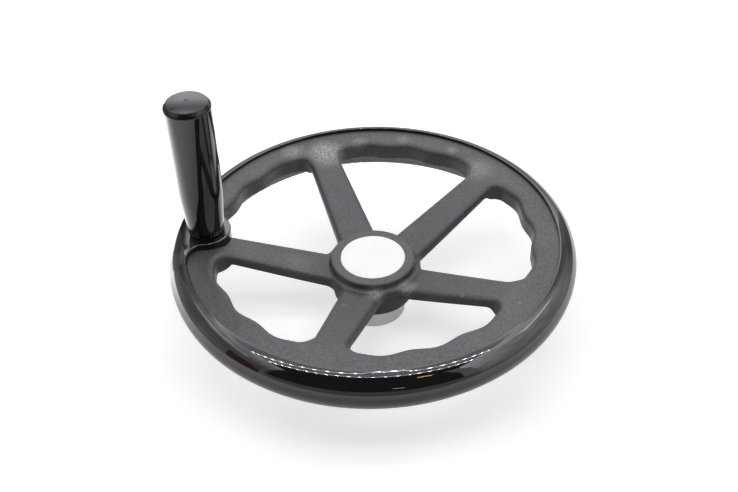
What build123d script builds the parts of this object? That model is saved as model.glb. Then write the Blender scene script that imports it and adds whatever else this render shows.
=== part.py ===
"""Dished five-spoke handwheel with a revolving side handle.

The wheel is one black moulding around a steel bush.  Its axis is the Z axis,
the foot of the bush stands at Z = 0 and the side handle stands up on the -X
side.  All sizes are in millimetres and all angles in degrees.
"""
from build123d import *
from math import cos, pi, sin, sqrt
import os

os.makedirs("parts", exist_ok=True)

# ------------------------------------------------------- heights of the wheel
bush_stand = 13.2           # bush below the moulded hub
hub_height = 21.3           # moulded hub, from its foot to the top ring
hub_sink = 13.8             # top ring below the flat face of the rim

# ---------------------------------------------- rim, from the outside inwards
wheel_radius = 100.0
rim_section_radius = 10.8   # round outer side of the rim, seen in section
rim_middle_drop = 8.8       # middle of the round section below the flat face
lip_round = 0.6             # edge of the step, around the rim and the boss
gloss_width = 9.0           # from the outside to the step down to the flat face
rim_width = 21.5            # from the outside to the middle of the wavy wall
wave_height = 0.9           # each wave goes this far in and out
waves_per_spoke = 4
wall_drop = 9.9             # lower edge of the wavy wall below the flat face
belly_inset = 1.8           # end of the round section inside its lowest point
belly_round = 2.0
flange_width = 4.0          # flat ledge between the belly and the wavy wall
flange_round = 2.5
ledge_width = 4.5           # the ledge goes on this far under the window corners
ledge_round = 3.0

# --------------------------------------------------------------------- spokes
spokes = 5
spoke_lead = 5.0            # from the handle to the nearest spoke
spoke_half_root = 9.9       # half width at the hub
spoke_half_tip = 8.2        # half width at the rim
spoke_thick_root = 6.0
spoke_thick_tip = 5.0
tip_inset = 8.5             # spoke tip inside the wavy wall
turn_inset = 2.5            # here the flat face turns down into the spokes
turn_round = 12.0
root_drop = 17.3            # spoke top at the hub below the flat face
window_tip_round = 6.0      # corners of the windows beside the rim
window_hub_round = 4.0      # corners of the windows beside the hub
window_round = 3.0          # broad upper edge of the windows
foot_round = 0.8            # soft lower edge of the wavy wall
foot_margin = 0.1           # room behind that round, for the window tool

# ------------------------------------------------------------------------ hub
ring_wall = 4.9             # raised ring around the cap
hub_step = 0.4              # hub below the spokes, wider than the ring
hub_draft = 1.3             # hub foot, narrower than the hub at the spokes
hub_web = 2.4               # hub between the spokes, wider than the hub below
ring_round = 1.2            # upper edge of the ring
ring_foot_round = 2.0
neck_round = 1.8            # under the spokes
heel_round = 0.8
root_setback = 1.0          # spoke widths are measured from here, outside the hub
bush_radius = 16.0
bush_chamfer = 1.2
shaft_radius = 10.0
bore_chamfer = 0.8
key_width = 6.0
key_rise = 2.8              # keyway above the shaft's surface
lock_height = 8.0           # six-sided upper end, held in the moulding
lock_depth = 1.4            # flats of the upper end inside the bush's radius

# ------------------------------------------------------------------------ cap
cap_radius = 16.2
cap_thick = 1.8
cap_gap = 0.1
cap_edge = 0.45             # rounded rim of the cap
cap_ledge = 3.7             # plate beyond the spigot
spigot_wall = 1.2
spigot_length = 4.0
spigot_slot = 1.6
spigot_clear = 2.7          # free height between spigot and bush

# --------------------------------------------------- boss, spindle and handle
handle_inset = 18.3         # handle axis inside the wheel's outside
boss_radius = 12.0
boss_rise = 3.5             # boss top above the flat face
boss_drop = 16.5            # boss foot below the flat face
boss_blend = 8.0            # hollow corners between boss and rim
boss_edge = 0.8             # lower edge
pad_depth = 2.0             # raised pad over the boss, above the plain post
pad_reach = 32.0            # pad along the rim, to each side of the handle
pad_root = 30.0             # pad section starts this far inside the rim
pad_level_angle = 7.0       # the pad is level this far to each side of the handle
pad_end_angle = 17.0        # and runs into the rim here
pad_end_sink = 0.35         # its ends dip below the rim
pad_steps = 6               # sections on each side
pin_radius = 5.0
pin_rise = 58.0             # journal above the boss
pin_sink = 17.0             # screwed end below the boss top
pin_chamfer = 0.8
socket_flats = 5.0          # hexagon socket in the top of the spindle
socket_depth = 5.0
insert_wall = 2.0
insert_length = 14.0
collar_width = 2.5          # spindle's collar beyond the journal
collar_height = 2.0
running_gap = 0.05
loose_gap = 0.3
collar_gap = 0.4
ring_drop = 6.0             # snap ring's groove below the end of the spindle
ring_groove = 1.2
ring_thick = 1.0
ring_depth = 0.8            # groove into the journal
ring_proud = 0.9            # snap ring beyond the journal
ring_slack = 0.1            # snap ring clear of the bottom of its groove
ring_split = 2.0

grip_lift = 0.3             # air between grip and boss
grip_height = 74.3          # top of the grip above the boss
grip_skirt = 0.85           # wall at the foot, around the collar
grip_swell = 2.0            # grip's knee wider than its foot
grip_flare = 0.36           # grip's shoulder wider than its knee
grip_knee = 22.8            # knee above the boss
knee_round = 100.0
bevel_width = 1.6           # sloping band between shoulder and dome
bevel_drop = 1.9
shoulder_round = 2.0
foot_edge = 0.4
dome_radius = 50.0
dome_edge = 0.8
gate_radius = 0.9
gate_depth = 0.25
end_gap = 4.0               # bore of the grip beyond the spindle's end

# -------------------------------------------------------------- worked-out sizes
hub_foot = bush_stand
hub_top = hub_foot + hub_height
face_level = hub_top + hub_sink
rim_middle_radius = wheel_radius - rim_section_radius
rim_middle_level = face_level - rim_middle_drop
lip_radius = wheel_radius - gloss_width
wave_radius = wheel_radius - rim_width
flange_level = face_level - wall_drop
tip_radius = wave_radius - tip_inset
turn_radius = wave_radius - turn_inset
rim_crown = rim_middle_level + rim_section_radius

seat_radius = cap_radius + cap_gap
hub_ring_radius = seat_radius + ring_wall
hub_radius = hub_ring_radius + hub_step
hub_foot_radius = hub_radius - hub_draft
hub_window_radius = hub_radius + hub_web
root_radius = hub_window_radius + root_setback
spigot_radius = cap_radius - cap_ledge
hole_radius = spigot_radius + cap_gap
seat_level = hub_top - cap_thick
bush_top = seat_level - spigot_length - spigot_clear

spoke_slope = root_drop / (turn_radius - root_radius)
spoke_taper = (spoke_half_root - spoke_half_tip) / (tip_radius - root_radius)
thick_taper = (spoke_thick_root - spoke_thick_tip) / (tip_radius - root_radius)

handle_x = handle_inset - wheel_radius
boss_top = face_level + boss_rise
boss_foot = face_level - boss_drop
insert_radius = pin_radius + insert_wall
collar_radius = pin_radius + collar_width
collar_room = collar_radius + collar_gap
grip_foot_radius = collar_room + grip_skirt
ring_level = boss_top + pin_rise - ring_drop


def rim_height(radius, side):
    """Height of the round rim section at a radius: side +1 is above, -1 below."""
    return rim_middle_level + side * sqrt(rim_section_radius**2 - (radius - rim_middle_radius)**2)


def spoke_top(radius):
    return face_level - spoke_slope * (turn_radius - radius)


def spoke_under(radius):
    return spoke_top(radius) - spoke_thick_root + thick_taper * (radius - root_radius)


def spoke_half(radius):
    return spoke_half_root - spoke_taper * (radius - root_radius)


def from_axis(point):
    return sqrt(point.X**2 + point.Y**2)


def post(radius, low, high, x=0.0):
    """Upright round post between two heights."""
    return Pos(x, 0, low) * Cylinder(radius, high - low, align=(Align.CENTER, Align.CENTER, Align.MIN))


def rounded(section, roundings):
    """A section with some of its corners rounded: pairs of corner and radius."""
    for (x, y), radius in roundings:
        at_corner = [v for v in section.vertices() if abs(v.X - x) < 0.01 and abs(v.Y - y) < 0.01]
        section = fillet(at_corner, radius)
    return section


# ------------------------------------------------------- rim, arm and hub blank
def wheel_blank():
    """Rim, dished web and hub turned as one section."""
    lip_edge = (lip_radius, rim_height(lip_radius, 1))
    belly_radius = rim_middle_radius - belly_inset
    belly = (belly_radius, rim_height(belly_radius, -1))
    flange_out = (wave_radius + wave_height + flange_width, flange_level)
    flange_in = (wave_radius - ledge_width, flange_level)
    arm_under = (tip_radius, spoke_under(tip_radius))
    hub_neck = (hub_radius, spoke_under(hub_radius))
    hub_heel = (hub_foot_radius, hub_foot)
    ring_edge = (hub_ring_radius, hub_top)
    ring_foot = (hub_ring_radius, spoke_top(hub_ring_radius))
    face_turn = (turn_radius, face_level)
    upper = Polyline((hole_radius, hub_top), ring_edge, ring_foot, face_turn,
                     (lip_radius, face_level), lip_edge)
    outer = ThreePointArc(lip_edge, (wheel_radius, rim_middle_level), belly)
    under = Polyline(belly, flange_out, flange_in, arm_under, hub_neck, hub_heel,
                     (hole_radius, hub_foot), (hole_radius, hub_top))
    section = rounded(make_face(upper + outer + under), (
        (face_turn, turn_round), (ring_foot, ring_foot_round), (ring_edge, ring_round),
        (lip_edge, lip_round), (belly, belly_round), (flange_out, flange_round),
        (flange_in, ledge_round), (arm_under, ledge_round), (hub_neck, neck_round),
        (hub_heel, heel_round)))
    return revolve(Plane.XZ * section, Axis.Z, 360)


# --------------------------------------------------- windows between the arms
def wave_point(angle, grow):
    radius = wave_radius + wave_height * cos(spokes * waves_per_spoke * angle) + grow
    return (radius * cos(angle), radius * sin(angle))


def window_corners(shape, inside, outside):
    """Upright edges between two distances from the axis."""
    found = []
    for e in shape.edges():
        size = e.bounding_box().size
        if size.X < 0.01 and size.Y < 0.01 and inside < from_axis(e.center()) < outside:
            found.append(e)
    return found


def window_prisms(grow, high):
    """All the windows as upright prisms, wider all round by an amount."""
    steps = spokes * waves_per_spoke * 8
    wavy = Spline(*[wave_point(2 * pi * i / steps, grow) for i in range(steps)], periodic=True)
    root, tip = spoke_half(0) - grow, spoke_half(wheel_radius) - grow
    arm = make_face(Polyline((0, -root), (wheel_radius, -tip), (wheel_radius, tip), (0, root), close=True))
    prisms = extrude(make_face(wavy), high)
    prisms -= [extrude(Rot(0, 0, 360 / spokes * k) * arm, high) for k in range(spokes)]
    prisms -= post(hub_window_radius - grow, 0, high)
    tip_corners = window_corners(prisms, tip_radius - window_tip_round, wheel_radius)
    prisms = fillet(tip_corners, window_tip_round + grow)
    root_corners = window_corners(prisms, 0, root_radius + spoke_half_root)
    return fillet(root_corners, window_hub_round + grow)


def window_cutter():
    """The windows as one tool, flared below the ledge to soften the wall's lower edge."""
    prisms = window_prisms(0, face_level + rim_section_radius)
    flare = window_prisms(foot_round + foot_margin, flange_level) - post(tip_radius, 0, flange_level)
    cutter = prisms + flare
    ledge = []
    for e in new_edges(prisms, flare, combined=cutter):
        if abs(e.center().Z - flange_level) < 0.01 and e.bounding_box().size.Z < 0.01:
            ledge.append(e)
    return fillet(ledge, foot_round)


# -------------------------------------------------------------- wheel moulding
def upper_window_edges(shape):
    """Edges where the upright window walls meet the face and the arms' tops."""
    seen = {}
    for f in shape.faces():
        middle = f.center()
        upright = abs(f.normal_at(middle).Z) < 0.02
        if upright and hub_window_radius - 1 < from_axis(middle) < wave_radius + wave_height + 1:
            for e in f.edges():
                c = e.center()
                seen.setdefault((round(c.X, 2), round(c.Y, 2), round(c.Z, 2)), []).append(e)
    found = []
    for group in seen.values():
        c = group[0].center()
        top = min(face_level, spoke_top(from_axis(c)))
        if len(group) == 1 and top - c.Z < 2.0:
            found.append(group[0])
    return found


def pad_outline():
    """Boss seen from above, joined to the rim's step by two hollow corners."""
    around = Pos(handle_x, 0) * Rectangle(4 * boss_radius, 2 * pad_reach)
    outline = (Circle(wheel_radius + 1) - Circle(lip_radius)) & around
    outline += Pos(handle_x, 0) * Circle(boss_radius)
    corners = []
    for v in outline.vertices():
        on_lip = abs(from_axis(v) - lip_radius) < 0.01
        if on_lip and abs(sqrt((v.X - handle_x)**2 + v.Y**2) - boss_radius) < 0.01:
            corners.append(v)
    return fillet(corners, boss_blend)


def pad_section(angle, lift):
    """Section through rim and pad at an angle from the handle, raised by a height."""
    crown = (rim_middle_radius, rim_crown + lift)
    side = (wheel_radius, rim_middle_level + lift)
    foot = rim_middle_level - 1
    inner = rim_middle_radius - pad_root
    section = make_face(RadiusArc(crown, side, rim_section_radius)
                        + Polyline(side, (wheel_radius, foot), (inner, foot), (inner, crown[1]), crown))
    return Rot(0, 0, 180 + angle) * (Plane.XZ * section)


def pad_lift(angle):
    """Height of the pad above the plain rim at an angle from the handle."""
    beyond = max(abs(angle) - pad_level_angle, 0) / (pad_end_angle - pad_level_angle)
    rise = boss_top - rim_crown
    return rise * (1 + cos(pi * beyond)) / 2 - pad_end_sink * beyond**2


def boss_pad():
    """Raised top of the boss, sloping away into the rim on both sides of the handle."""
    angles = [pad_end_angle * i / pad_steps for i in range(-pad_steps, pad_steps + 1)]
    raised = loft([pad_section(angle, pad_lift(angle)) for angle in angles])
    pad = extrude(pad_outline(), boss_top + 1) & raised
    edge = []
    for e in pad.edges():
        c = e @ 0.5
        inside = from_axis(c) < lip_radius + 0.1
        beside = sqrt((c.X - handle_x)**2 + c.Y**2) > boss_radius - 1
        if c.Z > rim_crown - 1 and inside and beside and e.length > pad_depth:
            edge.append(e)
    return fillet(edge, lip_round)


def wheel_moulding():
    wheel = wheel_blank() - window_cutter()
    wheel = fillet(upper_window_edges(wheel), window_round)
    wheel = Rot(0, 0, 180 + spoke_lead) * wheel
    boss = post(boss_radius, boss_foot, boss_top - pad_depth, handle_x)
    wheel += fillet(boss.edges().sort_by(Axis.Z)[0], boss_edge)
    wheel += boss_pad()
    wheel -= post(seat_radius, seat_level, boss_top)
    wheel -= post(insert_radius, boss_top - insert_length, boss_top + 1, handle_x)
    wheel -= post(pin_radius + loose_gap, boss_top - pin_sink - loose_gap, boss_top, handle_x)
    return wheel


# ------------------------------------------------------------------- steel bush
def bush():
    """Plain bush with a keyed bore; its six-sided upper end is locked in the moulding."""
    body = post(bush_radius, 0, bush_top)
    body = chamfer(body.edges().sort_by(Axis.Z)[0], bush_chamfer)
    flats = Pos(0, 0, bush_top - lock_height) * extrude(
        RegularPolygon(bush_radius - lock_depth, 6, major_radius=False), lock_height)
    body -= post(bush_radius + 1, bush_top - lock_height, bush_top) - flats
    body -= post(shaft_radius, 0, bush_top)
    circles = body.edges().filter_by(GeomType.CIRCLE)
    body = chamfer([e for e in circles if abs(e.radius - shaft_radius) < 0.01], bore_chamfer)
    keyway = Box(shaft_radius + key_rise, key_width, bush_top, align=(Align.MIN, Align.CENTER, Align.MIN))
    return body - keyway


# -------------------------------------------------------------------- hub cap
def cap():
    """Round plate with a slotted, springy spigot below."""
    foot = seat_level - spigot_length
    body = post(cap_radius, seat_level, hub_top)
    body = fillet(body.edges().sort_by(Axis.Z)[-1], cap_edge)
    spigot = post(spigot_radius, foot, seat_level) - post(spigot_radius - spigot_wall, foot, seat_level)
    slot = Box(cap_radius * 2, spigot_slot, spigot_length - cap_thick / 2,
               align=(Align.CENTER, Align.CENTER, Align.MIN))
    for angle in (0, 90):
        spigot -= Rot(0, 0, angle) * Pos(0, 0, foot) * slot
    return body + spigot


# ------------------------------------------------------- boss insert and spindle
def insert():
    """Plain sleeve moulded into the boss, which takes the spindle's screwed end."""
    foot = boss_top - insert_length
    return post(insert_radius, foot, boss_top, handle_x) - post(pin_radius, foot, boss_top, handle_x)


def spindle():
    """Screwed spindle: thread end, collar on the boss, journal and ring groove."""
    body = post(pin_radius, boss_top - pin_sink, boss_top + pin_rise, handle_x)
    ends = body.edges().filter_by(GeomType.CIRCLE)
    body = chamfer(ends, pin_chamfer)
    body += post(collar_radius, boss_top, boss_top + collar_height, handle_x)
    body -= post(pin_radius + 1, ring_level, ring_level + ring_groove, handle_x) - post(
        pin_radius - ring_depth, ring_level, ring_level + ring_groove, handle_x)
    socket = Pos(handle_x, 0, boss_top + pin_rise - socket_depth) * extrude(
        RegularPolygon(socket_flats / 2, 6, major_radius=False), socket_depth)
    return body - socket


def snap_ring():
    """Split ring that sits in the spindle's groove and holds the grip."""
    body = post(pin_radius + ring_proud, ring_level, ring_level + ring_thick, handle_x)
    body -= post(pin_radius - ring_depth + ring_slack, ring_level, ring_level + ring_thick, handle_x)
    return body - Pos(handle_x, 0, ring_level) * Box(
        pin_radius * 2, ring_split, ring_thick, align=(Align.MIN, Align.CENTER, Align.MIN))


# ----------------------------------------------------------------------- grip
def grip():
    """Revolving grip, turned as one section around the handle axis."""
    foot_level = boss_top + grip_lift
    top_level = boss_top + grip_height
    knee = (grip_foot_radius + grip_swell, boss_top + grip_knee)
    shoulder_radius = knee[0] + grip_flare
    dome_reach = shoulder_radius - bevel_width
    dome_sag = dome_radius - sqrt(dome_radius**2 - dome_reach**2)
    dome_rim = (dome_reach, top_level - dome_sag)
    shoulder = (shoulder_radius, dome_rim[1] - bevel_drop)
    collar_level = boss_top + collar_height
    bore = pin_radius + running_gap
    bore_end = boss_top + pin_rise + end_gap
    groove = pin_radius + ring_proud + loose_gap
    groove_low = ring_level - loose_gap
    groove_high = ring_level + ring_thick + loose_gap
    inside = Polyline((0, bore_end), (bore, bore_end), (bore, groove_high), (groove, groove_high),
                      (groove, groove_low), (bore, groove_low), (bore, collar_level),
                      (collar_room, collar_level), (collar_room, foot_level))
    outside = Polyline((collar_room, foot_level), (grip_foot_radius, foot_level), knee, shoulder, dome_rim)
    dome = RadiusArc(dome_rim, (0, top_level), -dome_radius)
    axis_line = Line((0, top_level), (0, bore_end))
    section = make_face(inside + outside + dome + axis_line)
    section = rounded(section, (((grip_foot_radius, foot_level), foot_edge), (knee, knee_round),
                                (shoulder, shoulder_round), (dome_rim, dome_edge)))
    body = Pos(handle_x, 0, 0) * revolve(Plane.XZ * section, Axis.Z, 360)
    return body - post(gate_radius, top_level - gate_depth, top_level + 1, handle_x)


hub_bush = bush()
wheel_body = wheel_moulding() - hub_bush
export_step(wheel_body, "parts/wheel_body.step")
export_step(hub_bush, "parts/hub_bush.step")
export_step(cap(), "parts/hub_cap.step")
export_step(insert(), "parts/boss_insert.step")
export_step(spindle(), "parts/handle_spindle.step")
export_step(snap_ring(), "parts/spindle_snap_ring.step")
export_step(grip(), "parts/handle_grip.step")
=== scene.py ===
"""Looks for the dished handwheel: its finishes, its studio and its camera."""
import math
import bpy
from mathutils import Matrix, Vector

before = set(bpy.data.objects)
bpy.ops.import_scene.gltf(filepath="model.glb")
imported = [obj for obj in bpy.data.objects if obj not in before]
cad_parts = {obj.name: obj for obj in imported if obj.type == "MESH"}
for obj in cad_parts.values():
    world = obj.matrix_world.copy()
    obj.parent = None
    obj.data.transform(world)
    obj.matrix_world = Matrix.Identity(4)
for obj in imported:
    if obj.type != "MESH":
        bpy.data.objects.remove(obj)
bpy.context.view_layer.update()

MM = 0.001
SIDEWAYS, DEPTH, UPWARD = 0, 1, 2   # the axes, in the order of a place's coordinates
FALLING = (1.0, 0.0)                # levels of a ramp that goes down
STUDIO_TURN = math.radians(2.8)     # studio and camera turned a little about the wheel axis

# ---------------------------------------------------------------- sizes of the finishes
FACE_LEVEL = 48.3 * MM              # the rim's flat face
FACE_SKIN = 0.05 * MM               # what stands higher over the face is polished
LIP_RADIUS = 90.8 * MM              # the rim is polished outside this
BOSS_X, BOSS_RADIUS = -81.7 * MM, 12.05 * MM    # the handle's boss, polished too
FINISH_EDGE = 0.2 * MM              # width over which one finish turns into the next
BEVEL_FOOT, BEVEL_TOP = 122.8 * MM, 125.15 * MM
BEVEL_DULLS = 0.5 * MM              # the bevel reaches its roughness this far above its foot
BEVEL_FADES = 0.3 * MM              # and its weaker mirroring this far above it
DOME_EDGE = 0.1 * MM                # the dome mirrors fully this far above the bevel

# ---------------------------------------------------------------- looks of the finishes
GLOSS_COLOUR = (0.005, 0.005, 0.0055, 1)
MATTE_DARK = (0.022, 0.022, 0.0232, 1)
MATTE_LIGHT = (0.052, 0.0514, 0.0545, 1)
# colour of the dust specks, and of the painted highlight patches
DUST_AND_SHEEN_COLOUR = (0.28, 0.268, 0.28, 1)
CAP_SHADED = (0.81, 0.82, 0.83, 1)
CAP_BRIGHT = (0.825, 0.835, 0.845, 1)
POLISH_ROUGHNESS, MATTE_ROUGHNESS = 0.05, 0.56
POLISH_SHINE, MATTE_SHINE = 0.5, 0.32           # Specular IOR Level
BEVEL_SHINE, DOME_SHINE = 0.13, 0.22
BEVEL_ROUGHER = 0.14
SPARK_SCALE, SPARK_DEPTH = 1150.0, 0.1 * MM
SPARK_TONE = 0.75                   # share of the light grey on the grain's peaks
SPARK_SMOOTHER = -0.08              # change of roughness there
WHEEL_DUST, GRIP_DUST = 0.25, 0.15  # how much of a speck's colour shows
METAL_SHADE, METAL_SPREAD = 0.88, 0.04          # darker share of a tint, and roughness to each side
# painted highlight: lighter patches where the lamp rows' rough sheen falls on the face
PAINTED_SHEEN_PATCHES = (                          # centre and radius in millimetres, and strength
    ((-27.7, 70.5, 46.5), 13.0, 1.0),
    ((-46.0, 70.5, 48.3), 9.0, 0.45),
    ((-9.4, 79.5, 48.3), 6.5, 0.4),
    ((14.2, 82.9, 48.3), 5.5, 0.35),
    ((41.0, 72.6, 48.3), 4.5, 0.4),
    ((53.8, 55.3, 48.3), 12.0, 0.4),
    ((1.5, -24.0, 30.5), 6.5, 0.7),
    ((17.5, -18.5, 31.0), 6.5, 0.7),
    ((-38.0, -6.0, 35.0), 12.0, 0.12),
)
METALS = (                          # node, finish, tint and roughness
    ("hub_bush", "bush_steel", (0.62, 0.625, 0.6), 0.45),
    ("handle_spindle", "spindle_steel", (0.5, 0.5, 0.5), 0.3),
    ("spindle_snap_ring", "ring_steel", (0.4, 0.4, 0.4), 0.35),
    ("boss_insert", "insert_brass", (0.7, 0.52, 0.25), 0.3),
)

# ---------------------------------------------------------------- sizes of the studio
TENT_SIDES = TENT_LEFT, TENT_RIGHT = -345 * MM, 300 * MM
TENT_DEPTHS = TENT_FRONT, TENT_BACK = -300 * MM, 320 * MM
TENT_TOP = 455 * MM
BACK_TOP = 300 * MM                 # the back cloth is brightest here
TENT_LIP = 75 * MM                  # height of the cloth below the tent's opening
OPEN_RIGHT = 232 * MM               # right side of the opening
ROOF_FRONT = -190 * MM
BAND_GAP = 2 * MM                   # the bright bands hang this far before the walls
# depth and height of each corner of the bands, in millimetres
LEFT_BAND = ((-170, 235), (100, 235), (120, 295), (-170, 290))
RIGHT_BAND = ((-50, 235), (65, 205), (65, 250), (-50, 305))
ROOM_SIDES, ROOM_FRONT, ROOM_TOP = (-1.5, 1.5), -1.2, 2.0     # the dark room, in metres
ROWS = (-174 * MM, -66 * MM)        # depth of each row of lamps
ROW_SIDES = ROW_LEFT, ROW_RIGHT = -330 * MM, 285 * MM
LAMPS_IN_ROW = 22
LAMP_LONG, LAMP_WIDE, STRIP_WIDE = 6 * MM, 12 * MM, 10 * MM
LAMP_HEIGHT, STRIP_HEIGHT = TENT_TOP - 7 * MM, TENT_TOP - 6 * MM
ROW_LIGHT_SIZE, BACK_LIGHT_SIZE = (600 * MM, 60 * MM), (600 * MM, 300 * MM)
LIGHT_GAP = 10 * MM                 # between a light and the cloth behind it
BACK_LIGHT_HEIGHT, BACK_LIGHT_AIM = 220 * MM, 20 * MM
FLOOR_HALF = 6.0                    # half of the floor's side, in metres

# ---------------------------------------------------------------- strength of the studio's light
LAMP_GLOW, STRIP_GLOW = 130.0, 13.0
ROW_WATTS, BACK_WATTS = 0.42, 0.9
ROOM_GLOW = 0.336
FLOOR_COLOUR, FLOOR_SEEN_COLOUR = 0.8, 0.72
# the floor that the camera sees: about the object, and what is added beyond
SHADOW_REACH, SHADOW_GLOW = (120 * MM, 400 * MM), (0.55, 0.67)
BEYOND_REACH, BEYOND_GLOW = (400 * MM, 900 * MM), (0.0, 0.25)
# the floor that the object mirrors: around it, behind it and left of it
MIRROR_REACH, MIRROR_GLOW = (110 * MM, 240 * MM), (0.3, 1.2)
REAR_DEPTHS, REAR_SIDES, REAR_GLOW = (0.0, 60 * MM), (50 * MM, 120 * MM), 1.0
LEFT_DEPTHS, LEFT_SIDES, LEFT_GLOW = (-100 * MM, 60 * MM), (-200 * MM, -100 * MM), 1.7


# ---------------------------------------------------------------- camera
def place_camera():
    """A 50 mm lens, held at arm's length and 40 degrees above the table."""
    aim = Vector((0, 0, FACE_LEVEL))
    distance, height_angle = 504.2 * MM, math.radians(39.99)
    pan, tilt, roll = math.radians(0.20), math.radians(-0.59), math.radians(1.41)
    place = Vector((0, -math.cos(height_angle), math.sin(height_angle))) * distance
    forward = -place.normalized()
    right = Vector((1, 0, 0))
    up = right.cross(forward)
    forward.rotate(Matrix.Rotation(pan, 3, up))
    right.rotate(Matrix.Rotation(pan, 3, up))
    forward.rotate(Matrix.Rotation(tilt, 3, right))
    up = right.cross(forward)
    right.rotate(Matrix.Rotation(roll, 3, forward))
    up.rotate(Matrix.Rotation(roll, 3, forward))
    stand = Matrix((right, up, -forward)).transposed().to_4x4()
    stand.translation = place
    turn = Matrix.Translation(aim) @ Matrix.Rotation(STUDIO_TURN, 4, "Z")
    data = bpy.data.cameras.new("camera")
    data.sensor_width = 36.0
    data.lens = 50.0
    data.clip_start = 10 * MM
    data.dof.use_dof = False
    camera = bpy.data.objects.new("camera", data)
    camera.matrix_world = turn @ stand
    bpy.context.collection.objects.link(camera)
    bpy.context.scene.camera = camera


# ---------------------------------------------------------------- node helpers
def new_material(name):
    """An empty material and its tree."""
    material = bpy.data.materials.new(name)
    material.use_nodes = True
    material.node_tree.nodes.clear()
    return material, material.node_tree


def add(tree, kind, **settings):
    """Adds a node and sets what it is told."""
    node = tree.nodes.new(kind)
    for name, value in settings.items():
        setattr(node, name, value)
    return node


def feed(tree, socket, value):
    """Joins a socket to another, or sets its value."""
    if isinstance(value, bpy.types.NodeSocket):
        tree.links.new(value, socket)
    else:
        socket.default_value = value


def sums(tree, operation, *terms):
    """One step of arithmetic."""
    node = add(tree, "ShaderNodeMath", operation=operation)
    for socket, term in zip(node.inputs, terms):
        feed(tree, socket, term)
    return node.outputs[0]


def whole(tree, *terms):
    """Adds several values."""
    total = terms[0]
    for term in terms[1:]:
        total = sums(tree, "ADD", total, term)
    return total


def ramp(tree, value, span, levels=(0.0, 1.0), smooth=True):
    """Goes from one level to another while the value crosses a span."""
    node = add(tree, "ShaderNodeMapRange",
               interpolation_type="SMOOTHSTEP" if smooth else "LINEAR")
    feed(tree, node.inputs["Value"], value)
    for label, limit in zip(("From Min", "From Max", "To Min", "To Max"), (*span, *levels)):
        node.inputs[label].default_value = limit
    return node.outputs[0]


def blend(tree, share, first, second):
    """Mixes two colours; a mix node keeps its colour sockets at these places."""
    share_in, first_in, second_in, colour_out = 0, 6, 7, 2
    node = add(tree, "ShaderNodeMix", data_type="RGBA")
    feed(tree, node.inputs[share_in], share)
    feed(tree, node.inputs[first_in], first)
    feed(tree, node.inputs[second_in], second)
    return node.outputs[colour_out]


def object_place(tree):
    """The place on the piece, in the shared frame."""
    return add(tree, "ShaderNodeTexCoord").outputs["Object"]


def axes(tree, place):
    """A place's three coordinates."""
    split = add(tree, "ShaderNodeSeparateXYZ")
    feed(tree, split.inputs[0], place)
    return tuple(split.outputs)


def upright_distance(tree, x, y, centre_x=0.0):
    """Distance from an upright axis that crosses the X axis."""
    along = sums(tree, "SUBTRACT", x, centre_x)
    squares = whole(tree, sums(tree, "MULTIPLY", along, along), sums(tree, "MULTIPLY", y, y))
    return sums(tree, "SQRT", squares)


def noise(tree, place, scale, detail=2.0, roughness=0.5, distortion=0.0):
    """Cloudy value around one half."""
    node = add(tree, "ShaderNodeTexNoise")
    feed(tree, node.inputs["Vector"], place)
    feed(tree, node.inputs["Scale"], scale)
    node.inputs["Detail"].default_value = detail
    node.inputs["Roughness"].default_value = roughness
    node.inputs["Distortion"].default_value = distortion
    return node.outputs["Fac"]


def end_in(tree, shader, kind="ShaderNodeOutputMaterial"):
    """Gives the tree its output."""
    feed(tree, add(tree, kind).inputs["Surface"], shader.outputs[0])


# ---------------------------------------------------------------- shared effects
def new_group(name, **sockets):
    """An empty node group; each socket says whether it goes in or out, and its kind."""
    group = bpy.data.node_groups.new(name, "ShaderNodeTree")
    for label, (side, kind) in sockets.items():
        group.interface.new_socket(label, in_out=side, socket_type="NodeSocket" + kind)
    return group, add(group, "NodeGroupInput"), add(group, "NodeGroupOutput")


def make_haze_group():
    """Cloudy value between two limits, for handled and slightly uneven surfaces."""
    group, given, result = new_group(
        "surface_haze", Scale=("INPUT", "Float"), Low=("INPUT", "Float"),
        High=("INPUT", "Float"), Value=("OUTPUT", "Float"))
    cloud = noise(group, object_place(group), given.outputs["Scale"], detail=3.0)
    share = ramp(group, cloud, span=(0.3, 0.7))
    span = sums(group, "SUBTRACT", given.outputs["High"], given.outputs["Low"])
    value = sums(group, "MULTIPLY_ADD", share, span, given.outputs["Low"])
    feed(group, result.inputs["Value"], value)
    return group


def make_patch_group():
    """Mask for a painted highlight patch: 1 at a centre, fading out at a radius, broken up by fine
    grain.
    """
    group, given, result = new_group(
        "painted_sheen_patch", Centre=("INPUT", "Vector"), Radius=("INPUT", "Float"),
        Mask=("OUTPUT", "Float"))
    place = object_place(group)
    away = add(group, "ShaderNodeVectorMath", operation="DISTANCE")
    feed(group, away.inputs[0], place)
    feed(group, away.inputs[1], given.outputs["Centre"])
    radii = sums(group, "DIVIDE", away.outputs["Value"], given.outputs["Radius"])
    near = ramp(group, sums(group, "SUBTRACT", 1.0, radii), span=(0.0, 0.9))
    grain = noise(group, place, scale=900.0, detail=3.0, roughness=0.7)
    broken = ramp(group, grain, span=(0.35, 0.65), levels=(0.35, 1.3))
    feed(group, result.inputs["Mask"], sums(group, "MULTIPLY", near, broken))
    return group


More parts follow.
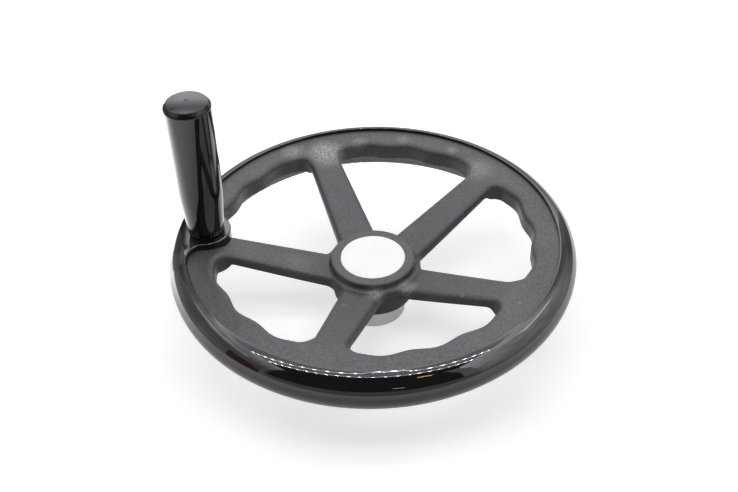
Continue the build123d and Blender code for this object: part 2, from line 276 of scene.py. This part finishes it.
def make_dust_group():
    """Sparse small specks as a mask."""
    group, given, result = new_group(
        "dust_specks", Scale=("INPUT", "Float"), Mask=("OUTPUT", "Float"))
    cells = add(group, "ShaderNodeTexVoronoi")
    feed(group, cells.inputs["Vector"], object_place(group))
    feed(group, cells.inputs["Scale"], given.outputs["Scale"])
    chance = add(group, "ShaderNodeSeparateColor")
    feed(group, chance.inputs[0], cells.outputs["Color"])
    chosen = ramp(group, chance.outputs[0], span=(0.94, 0.96))
    speck = ramp(group, cells.outputs["Distance"], span=(0.1, 0.25), levels=FALLING)
    feed(group, result.inputs["Mask"], sums(group, "MULTIPLY", chosen, speck))
    return group


HAZE = make_haze_group()
PATCH = make_patch_group()
DUST = make_dust_group()


def use(tree, group, output, **settings):
    """Puts a shared effect into a material and returns one of its outputs."""
    node = add(tree, "ShaderNodeGroup", node_tree=group)
    for name, value in settings.items():
        feed(tree, node.inputs[name], value)
    return node.outputs[output]


# ---------------------------------------------------------------- finishes
def principled(tree, colour, roughness):
    """The shader in which every finish of the object ends."""
    shader = add(tree, "ShaderNodeBsdfPrincipled")
    feed(tree, shader.inputs["Base Color"], colour)
    feed(tree, shader.inputs["Roughness"], roughness)
    end_in(tree, shader)
    return shader


def wheel_finish():
    """Black moulding: spark-textured flat faces inside a polished rim and boss."""
    material, tree = new_material("black_moulding")
    place = object_place(tree)
    x, y, z = axes(tree, place)
    outer = ramp(tree, upright_distance(tree, x, y), (LIP_RADIUS, LIP_RADIUS + FINISH_EDGE))
    raised = ramp(tree, z, (FACE_LEVEL + FACE_SKIN, FACE_LEVEL + FINISH_EDGE))
    boss = ramp(tree, upright_distance(tree, x, y, BOSS_X),
                (BOSS_RADIUS, BOSS_RADIUS + FINISH_EDGE), FALLING)
    gloss = sums(tree, "MAXIMUM", sums(tree, "MAXIMUM", outer, raised), boss)
    matte = sums(tree, "SUBTRACT", 1.0, gloss)

    spark = noise(tree, place, SPARK_SCALE, roughness=0.6)
    peaks = ramp(tree, spark, span=(0.36, 0.64))
    cloud = use(tree, HAZE, "Value", Scale=55.0, Low=0.0, High=0.35)
    lighter = sums(tree, "ADD", sums(tree, "MULTIPLY", peaks, SPARK_TONE), cloud)
    tone = blend(tree, lighter, MATTE_DARK, MATTE_LIGHT)
    # painted highlight patches where the lamp rows' rough sheen falls, plus dust specks
    dust_and_sheen = 0.0
    for centre, radius, strength in PAINTED_SHEEN_PATCHES:
        patch = use(tree, PATCH, "Mask", Centre=[c * MM for c in centre], Radius=radius * MM)
        dust_and_sheen = sums(tree, "MULTIPLY_ADD", patch, strength, dust_and_sheen)
    dusty = use(tree, DUST, "Mask", Scale=160.0)
    dust_and_sheen = sums(tree, "MINIMUM", sums(tree, "MULTIPLY_ADD", dusty, WHEEL_DUST, dust_and_sheen), 1.0)
    colour = blend(tree, gloss, blend(tree, dust_and_sheen, tone, DUST_AND_SHEEN_COLOUR), GLOSS_COLOUR)

    bump = add(tree, "ShaderNodeBump")
    bump.inputs["Distance"].default_value = SPARK_DEPTH
    feed(tree, bump.inputs["Height"], spark)
    feed(tree, bump.inputs["Strength"], matte)
    grained = sums(tree, "MULTIPLY_ADD", peaks, SPARK_SMOOTHER, MATTE_ROUGHNESS)
    rougher = sums(tree, "SUBTRACT", grained, POLISH_ROUGHNESS)
    shader = principled(tree, colour,
                        sums(tree, "MULTIPLY_ADD", matte, rougher, POLISH_ROUGHNESS))
    feed(tree, shader.inputs["Specular IOR Level"],
         sums(tree, "MULTIPLY_ADD", gloss, POLISH_SHINE - MATTE_SHINE, MATTE_SHINE))
    feed(tree, shader.inputs["Normal"], bump.outputs[0])
    return material


def grip_finish():
    """Polished black moulding with a faint haze, duller on its bevel."""
    material, tree = new_material("polished_grip")
    haze = use(tree, HAZE, "Value", Scale=180.0, Low=0.04, High=0.08)
    dusty = use(tree, DUST, "Mask", Scale=140.0)
    colour = blend(tree, sums(tree, "MULTIPLY", dusty, GRIP_DUST), GLOSS_COLOUR, DUST_AND_SHEEN_COLOUR)
    height = axes(tree, object_place(tree))[UPWARD]
    dome_foot = BEVEL_TOP - FINISH_EDGE
    on_bevel = sums(tree, "MULTIPLY",
                    ramp(tree, height, (BEVEL_FOOT, BEVEL_FOOT + BEVEL_DULLS)),
                    ramp(tree, height, (dome_foot, BEVEL_TOP), FALLING))
    shader = principled(tree, colour, sums(tree, "MULTIPLY_ADD", on_bevel, BEVEL_ROUGHER, haze))
    bevel = ramp(tree, height, (BEVEL_FOOT, BEVEL_FOOT + BEVEL_FADES), (POLISH_SHINE, BEVEL_SHINE))
    dome = ramp(tree, height, (dome_foot, BEVEL_TOP + DOME_EDGE), (0.0, DOME_SHINE - BEVEL_SHINE))
    feed(tree, shader.inputs["Specular IOR Level"], sums(tree, "ADD", bevel, dome))
    return material


def cap_finish():
    """Satin white moulding."""
    material, tree = new_material("white_cap")
    haze = use(tree, HAZE, "Value", Scale=120.0, Low=0.0, High=1.0)
    satin = use(tree, HAZE, "Value", Scale=300.0, Low=0.42, High=0.5)
    principled(tree, blend(tree, haze, CAP_SHADED, CAP_BRIGHT), satin)
    return material


def metal_finish(name, tint, roughness):
    """Turned metal."""
    material, tree = new_material(name)
    turned = use(tree, HAZE, "Value", Scale=900.0, Low=0.0, High=1.0)
    shaded = [METAL_SHADE * t for t in tint]
    rough = use(tree, HAZE, "Value", Scale=400.0,
                Low=roughness - METAL_SPREAD, High=roughness + METAL_SPREAD)
    shader = principled(tree, blend(tree, turned, (*shaded, 1), (*tint, 1)), rough)
    shader.inputs["Metallic"].default_value = 1.0
    return material


def dress(node, material):
    """Puts one finish on a whole node."""
    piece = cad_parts[node]
    piece.data.materials.clear()
    piece.data.materials.append(material)
    for polygon in piece.data.polygons:
        polygon.material_index = 0


# ---------------------------------------------------------------- studio cloths
WHITE = (1.0, 1.0, 1.0)
TOP_TINT, ROOF_TINT = (0.96, 0.97, 1.0), (0.9, 0.92, 1.0)
LAMP_TINT, STRIP_TINT = (1.0, 0.97, 1.0), (1.0, 0.98, 1.0)
DARK_CORNER = dict(axis=SIDEWAYS, span=(-330 * MM, -170 * MM), levels=(0.1, 1.0))
CLOTHS = {                          # glow along one axis, levels of the creases, and a fade
    "tent_left_cloth": dict(
        glow=dict(axis=UPWARD, span=(200 * MM, TENT_TOP), levels=(1.1, 4.2)),
        creases=(0.7, 1.2),
        fade=dict(axis=DEPTH, span=(80 * MM, 200 * MM), levels=(1.0, 0.4))),
    "tent_left_band_cloth": dict(
        glow=dict(axis=UPWARD, span=(235 * MM, 285 * MM), levels=(2.4, 5.6)),
        creases=(0.55, 1.35)),
    "tent_right_cloth": dict(
        glow=dict(axis=UPWARD, span=(0.0, TENT_TOP), levels=(0.9, 5.0)),
        creases=(0.8, 1.35),
        fade=dict(axis=DEPTH, span=(50 * MM, 200 * MM), levels=(1.0, 0.3))),
    "tent_right_band_cloth": dict(
        glow=dict(axis=UPWARD, span=(215 * MM, 260 * MM), levels=(4.5, 8.0)),
        creases=(0.8, 1.5)),
    "tent_back_cloth": dict(
        glow=dict(axis=UPWARD, span=(100 * MM, BACK_TOP), levels=(0.8, 4.7)),
        fade=DARK_CORNER),
    "tent_back_top_cloth": dict(
        glow=dict(axis=UPWARD, span=(BACK_TOP, 430 * MM), levels=(4.7, 2.6)),
        colour=TOP_TINT, fade=DARK_CORNER),
    "tent_roof_cloth": dict(
        glow=dict(axis=DEPTH, span=(30 * MM, 160 * MM), levels=(2.2, 6.5)),
        colour=ROOF_TINT,
        fade=dict(axis=DEPTH, span=(230 * MM, 285 * MM), levels=(1.0, 0.5))),
}
PLAIN_CLOTHS = {                    # colour and glow
    "tent_lip_cloth": (WHITE, 0.75),
    "tent_flap_cloth": (WHITE, 1.3),
    "dark_room": ((0.95, 0.95, 1.0), 0.11),
    "brown_box": ((0.42, 0.25, 0.2), 0.8),
    "grey_box": ((0.7, 0.68, 0.7), 1.0),
    "warm_lamp": ((1.0, 0.72, 0.36), 16.0),
}


def glow_material(name, build):
    """Light-giving studio cloth; build gives its colour and its strength."""
    material, tree = new_material(name)
    colour, strength = build(tree)
    glow = add(tree, "ShaderNodeEmission")
    feed(tree, glow.inputs["Color"], (*colour, 1.0))
    feed(tree, glow.inputs["Strength"], strength)
    end_in(tree, glow)
    return material


def tent_cloth(name, glow, colour=WHITE, creases=None, fade=None):
    """Tent cloth whose glow changes along one axis, with soft creases and a fade."""
    def build(tree):
        place = object_place(tree)
        along = axes(tree, place)
        level = ramp(tree, along[glow["axis"]], glow["span"], glow["levels"], smooth=False)
        if creases:
            folds = noise(tree, place, scale=9.0, detail=4.0, distortion=1.2)
            shading = ramp(tree, folds, span=(0.3, 0.75), levels=creases)
            level = sums(tree, "MULTIPLY", level, shading)
        if fade:
            share = ramp(tree, along[fade["axis"]], fade["span"], fade["levels"])
            level = sums(tree, "MULTIPLY", level, share)
        return colour, level
    return glow_material(name, build)


def plain_cloth(name, colour, strength):
    """Studio cloth of one tone."""
    return glow_material(name, lambda tree: (colour, strength))


# ---------------------------------------------------------------- studio sheets
def side_sheet(x, depths, heights):
    """Corners of an upright sheet that faces left or right."""
    (front, back), (low, high) = depths, heights
    return [(x, front, low), (x, back, low), (x, back, high), (x, front, high)]


def cross_sheet(sides, depths, heights):
    """Corners of a sheet between a first edge and a second, each from side to side."""
    (left, right), (first_y, second_y), (first_z, second_z) = sides, depths, heights
    return [(left, first_y, first_z), (right, first_y, first_z),
            (right, second_y, second_z), (left, second_y, second_z)]


def band_sheet(x, outline):
    """Corners of a slanting band on a side wall."""
    return [(x, depth * MM, height * MM) for depth, height in outline]


SHEETS = (                          # sheet, its cloth and its corners
    ("tent_left", "tent_left_cloth", side_sheet(TENT_LEFT, TENT_DEPTHS, (0, TENT_TOP))),
    ("tent_left_band", "tent_left_band_cloth", band_sheet(TENT_LEFT + BAND_GAP, LEFT_BAND)),
    ("tent_right", "tent_right_cloth", side_sheet(TENT_RIGHT, TENT_DEPTHS, (0, TENT_TOP))),
    ("tent_right_band", "tent_right_band_cloth", band_sheet(TENT_RIGHT - BAND_GAP, RIGHT_BAND)),
    ("tent_back", "tent_back_cloth",
     cross_sheet(TENT_SIDES, (TENT_BACK, TENT_BACK), (0, BACK_TOP))),
    ("tent_back_top", "tent_back_top_cloth",
     cross_sheet(TENT_SIDES, (TENT_BACK, TENT_BACK), (BACK_TOP, TENT_TOP))),
    ("tent_roof", "tent_roof_cloth",
     cross_sheet(TENT_SIDES, (ROOF_FRONT, TENT_BACK), (TENT_TOP, TENT_TOP))),
    ("tent_lip", "tent_lip_cloth",
     cross_sheet(TENT_SIDES, (TENT_FRONT, TENT_FRONT), (0, TENT_LIP))),
    ("tent_flap", "tent_flap_cloth",
     cross_sheet((OPEN_RIGHT, TENT_RIGHT), (TENT_FRONT, TENT_FRONT), (TENT_LIP, TENT_TOP))),
    ("room_front", "dark_room",
     cross_sheet(ROOM_SIDES, (ROOM_FRONT, ROOM_FRONT), (0, ROOM_TOP))),
    ("room_top", "dark_room",
     cross_sheet(ROOM_SIDES, (ROOM_FRONT, TENT_FRONT), (ROOM_TOP, ROOM_TOP))),
    ("brown_box", "brown_box",
     side_sheet(TENT_LEFT + 10 * MM, (-270 * MM, -140 * MM), (0, 140 * MM))),
    ("grey_box", "grey_box",
     side_sheet(TENT_LEFT + 20 * MM, (-260 * MM, -235 * MM), (100 * MM, 200 * MM))),
    ("warm_lamp_high", "warm_lamp",
     cross_sheet((240 * MM, 340 * MM), (-520 * MM, -500 * MM), (770 * MM, 800 * MM))),
    ("warm_lamp_low", "warm_lamp",
     cross_sheet((130 * MM, 230 * MM), (-990 * MM, -990 * MM), (400 * MM, 420 * MM))),
)


def studio_sheet(name, corners, material):
    """A flat sheet of the studio, turned with it."""
    mesh = bpy.data.meshes.new(name)
    spin = Matrix.Rotation(STUDIO_TURN, 4, "Z")
    mesh.from_pydata([spin @ Vector(c) for c in corners], [], [tuple(range(len(corners)))])
    mesh.materials.append(material)
    panel = bpy.data.objects.new(name, mesh)
    bpy.context.collection.objects.link(panel)
    return panel


def only_mirrored(panel):
    """Hides a sheet from all but what the object mirrors."""
    panel.visible_camera = False
    panel.visible_diffuse = False
    panel.visible_shadow = False
    panel.visible_transmission = False
    panel.visible_volume_scatter = False


def tent():
    """A white light tent, seen only in what the object mirrors."""
    cloths = {name: tent_cloth(name, **look) for name, look in CLOTHS.items()}
    for name, (colour, strength) in PLAIN_CLOTHS.items():
        cloths[name] = plain_cloth(name, colour, strength)
    for name, cloth_name, corners in SHEETS:
        only_mirrored(studio_sheet(name, corners, cloths[cloth_name]))


def lamp_rows():
    """Two rows of small lamps under the tent's roof, each with a dimmer strip over it."""
    lamp_cloth = plain_cloth("row_lamp", LAMP_TINT, LAMP_GLOW)
    strip_cloth = plain_cloth("row_strip", STRIP_TINT, STRIP_GLOW)
    for row, depth in enumerate(ROWS):
        strip = cross_sheet(ROW_SIDES, (depth - STRIP_WIDE / 2, depth + STRIP_WIDE / 2),
                            (STRIP_HEIGHT, STRIP_HEIGHT))
        only_mirrored(studio_sheet("row_%d_strip" % row, strip, strip_cloth))
        for i in range(LAMPS_IN_ROW):
            x = ROW_LEFT + (ROW_RIGHT - ROW_LEFT) * i / (LAMPS_IN_ROW - 1)
            lamp = cross_sheet((x - LAMP_LONG / 2, x + LAMP_LONG / 2),
                               (depth - LAMP_WIDE / 2, depth + LAMP_WIDE / 2),
                               (LAMP_HEIGHT, LAMP_HEIGHT))
            only_mirrored(studio_sheet("row_%d_lamp_%02d" % (row, i), lamp, lamp_cloth))


def white_floor():
    """Pale floor that shows white to the camera and keeps the object's shadow."""
    material, tree = new_material("white_floor")
    path = add(tree, "ShaderNodeLightPath")
    seen, mirrored = path.outputs["Is Camera Ray"], path.outputs["Is Glossy Ray"]
    shade = sums(tree, "MULTIPLY_ADD", seen, FLOOR_SEEN_COLOUR - FLOOR_COLOUR, FLOOR_COLOUR)
    tone = add(tree, "ShaderNodeCombineColor")
    for channel in ("Red", "Green", "Blue"):
        feed(tree, tone.inputs[channel], shade)
    board = add(tree, "ShaderNodeBsdfDiffuse")
    feed(tree, board.inputs["Color"], tone.outputs[0])

    x, y, _ = axes(tree, object_place(tree))
    away = upright_distance(tree, x, y)
    seen_level = sums(tree, "ADD", ramp(tree, away, SHADOW_REACH, SHADOW_GLOW),
                      ramp(tree, away, BEYOND_REACH, BEYOND_GLOW))
    around = ramp(tree, away, MIRROR_REACH, MIRROR_GLOW)
    rear = sums(tree, "MULTIPLY", ramp(tree, y, REAR_DEPTHS, (0.0, REAR_GLOW)),
                ramp(tree, x, REAR_SIDES, FALLING))
    left = sums(tree, "MULTIPLY", ramp(tree, x, LEFT_SIDES, (LEFT_GLOW, 0.0)),
                ramp(tree, y, LEFT_DEPTHS))
    mirrored_level = whole(tree, around, rear, left)
    glow = add(tree, "ShaderNodeEmission")
    feed(tree, glow.inputs["Strength"], sums(
        tree, "ADD", sums(tree, "MULTIPLY", seen, seen_level),
        sums(tree, "MULTIPLY", mirrored, mirrored_level)))
    both = add(tree, "ShaderNodeAddShader")
    feed(tree, both.inputs[0], board.outputs[0])
    feed(tree, both.inputs[1], glow.outputs[0])
    end_in(tree, both)
    reach = (-FLOOR_HALF, FLOOR_HALF)
    studio_sheet("floor", cross_sheet(reach, reach, (0, 0)), material)


# ---------------------------------------------------------------- lights and world
def soft_light(name, size, watts, stand):
    """An area light that the camera and the object's polish don't show."""
    data = bpy.data.lights.new(name, "AREA")
    data.shape = "RECTANGLE"
    data.size, data.size_y = size
    data.energy = watts
    lamp = bpy.data.objects.new(name, data)
    lamp.matrix_world = Matrix.Rotation(STUDIO_TURN, 4, "Z") @ stand
    lamp.visible_glossy = False
    lamp.visible_camera = False
    bpy.context.collection.objects.link(lamp)


def row_lights():
    """The light that the two lamp rows throw on the object and the floor."""
    for row, depth in enumerate(ROWS):
        stand = Matrix.Translation((0, depth, TENT_TOP - LIGHT_GAP))
        soft_light("row_%d_light" % row, ROW_LIGHT_SIZE, ROW_WATTS, stand)


def back_light():
    """Soft light from the tent's back wall, which draws the shadow forward."""
    place = Vector((0, TENT_BACK - LIGHT_GAP, BACK_LIGHT_HEIGHT))
    lean = (Vector((0, 0, BACK_LIGHT_AIM)) - place).to_track_quat("-Z", "Z").to_matrix().to_4x4()
    soft_light("back_light", BACK_LIGHT_SIZE, BACK_WATTS, Matrix.Translation(place) @ lean)


def white_world():
    """White to the camera, and a weak even light on the object."""
    world = bpy.data.worlds.new("white_room")
    bpy.context.scene.world = world
    world.use_nodes = True
    tree = world.node_tree
    tree.nodes.clear()
    seen = add(tree, "ShaderNodeLightPath").outputs["Is Camera Ray"]
    back = add(tree, "ShaderNodeBackground")
    feed(tree, back.inputs["Color"], (*WHITE, 1.0))
    feed(tree, back.inputs["Strength"],
         sums(tree, "MULTIPLY_ADD", seen, 1.0 - ROOM_GLOW, ROOM_GLOW))
    end_in(tree, back, "ShaderNodeOutputWorld")


place_camera()
dress("wheel_body", wheel_finish())
dress("handle_grip", grip_finish())
dress("hub_cap", cap_finish())
for metal_node, finish_name, metal_tint, metal_roughness in METALS:
    dress(metal_node, metal_finish(finish_name, metal_tint, metal_roughness))
tent()
lamp_rows()
white_floor()
row_lights()
back_light()
white_world()
bpy.context.scene.view_settings.view_transform = "Standard"
